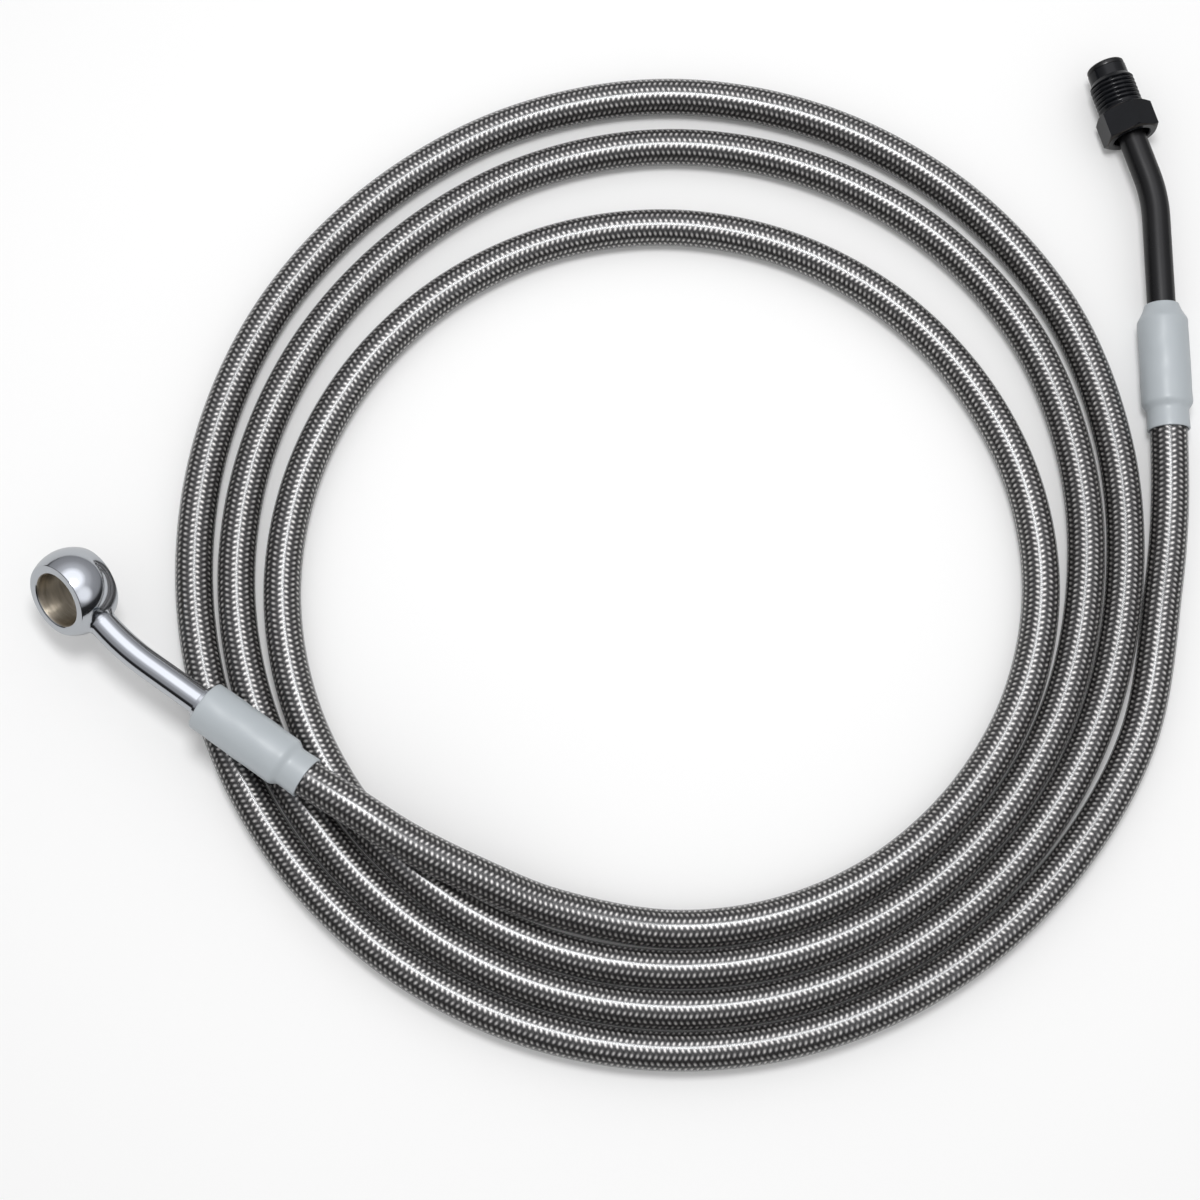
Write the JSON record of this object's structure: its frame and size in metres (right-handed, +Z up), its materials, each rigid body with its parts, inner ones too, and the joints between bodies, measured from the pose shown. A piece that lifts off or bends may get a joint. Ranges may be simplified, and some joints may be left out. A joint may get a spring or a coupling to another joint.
{
  "type": "braided clutch hose",
  "caption": "Coiled steel-braided hydraulic hose in a clear jacket, with a banjo fitting at one end and a bent hard tube with a loose flare nut at the other.",
  "frame": {"origin": "middle of the footprint of the coiled hose, on the surface that it lies on", "axes": "+Z up, out of the plane of the coil; +X towards the side where the hard-tube end lies; +Y the way the hard tube points"},
  "size_m": [0.2428, 0.2178, 0.0223],
  "materials": {
    "chrome": "bright chrome plating",
    "steel": "plain turned steel",
    "braid": "bright stainless wire braid",
    "jacket": "clear glossy PVC",
    "liner": "white PTFE tube",
    "sleeve": "pale blue-grey heat-shrink, satin",
    "black_tube": "smooth black coating, glossy",
    "black_nut": "black oxide, satin"
  },
  "bodies": {
    "hose_assembly": {"banjo_eye": "chrome", "banjo_neck": "chrome", "banjo_crimp_collar": "chrome", "banjo_stem": "steel", "banjo_sleeve": "sleeve", "hose_liner": "liner", "hose_braid": "braid", "hose_jacket": "jacket", "tube_crimp_collar": "steel", "tube_stem": "steel", "tube_sleeve": "sleeve", "hard_tube": "black_tube"},
    "nut": {"flare_nut": "black_nut"}
  },
  "joints": [
    {"name": "nut_spin", "type": "hinge", "parent": "hose_assembly", "child": "nut", "pos_m": [0.11215, 0.09069, 0.00632], "axis": [-0.284, 0.9588, 0], "continuous": true}
  ]
}
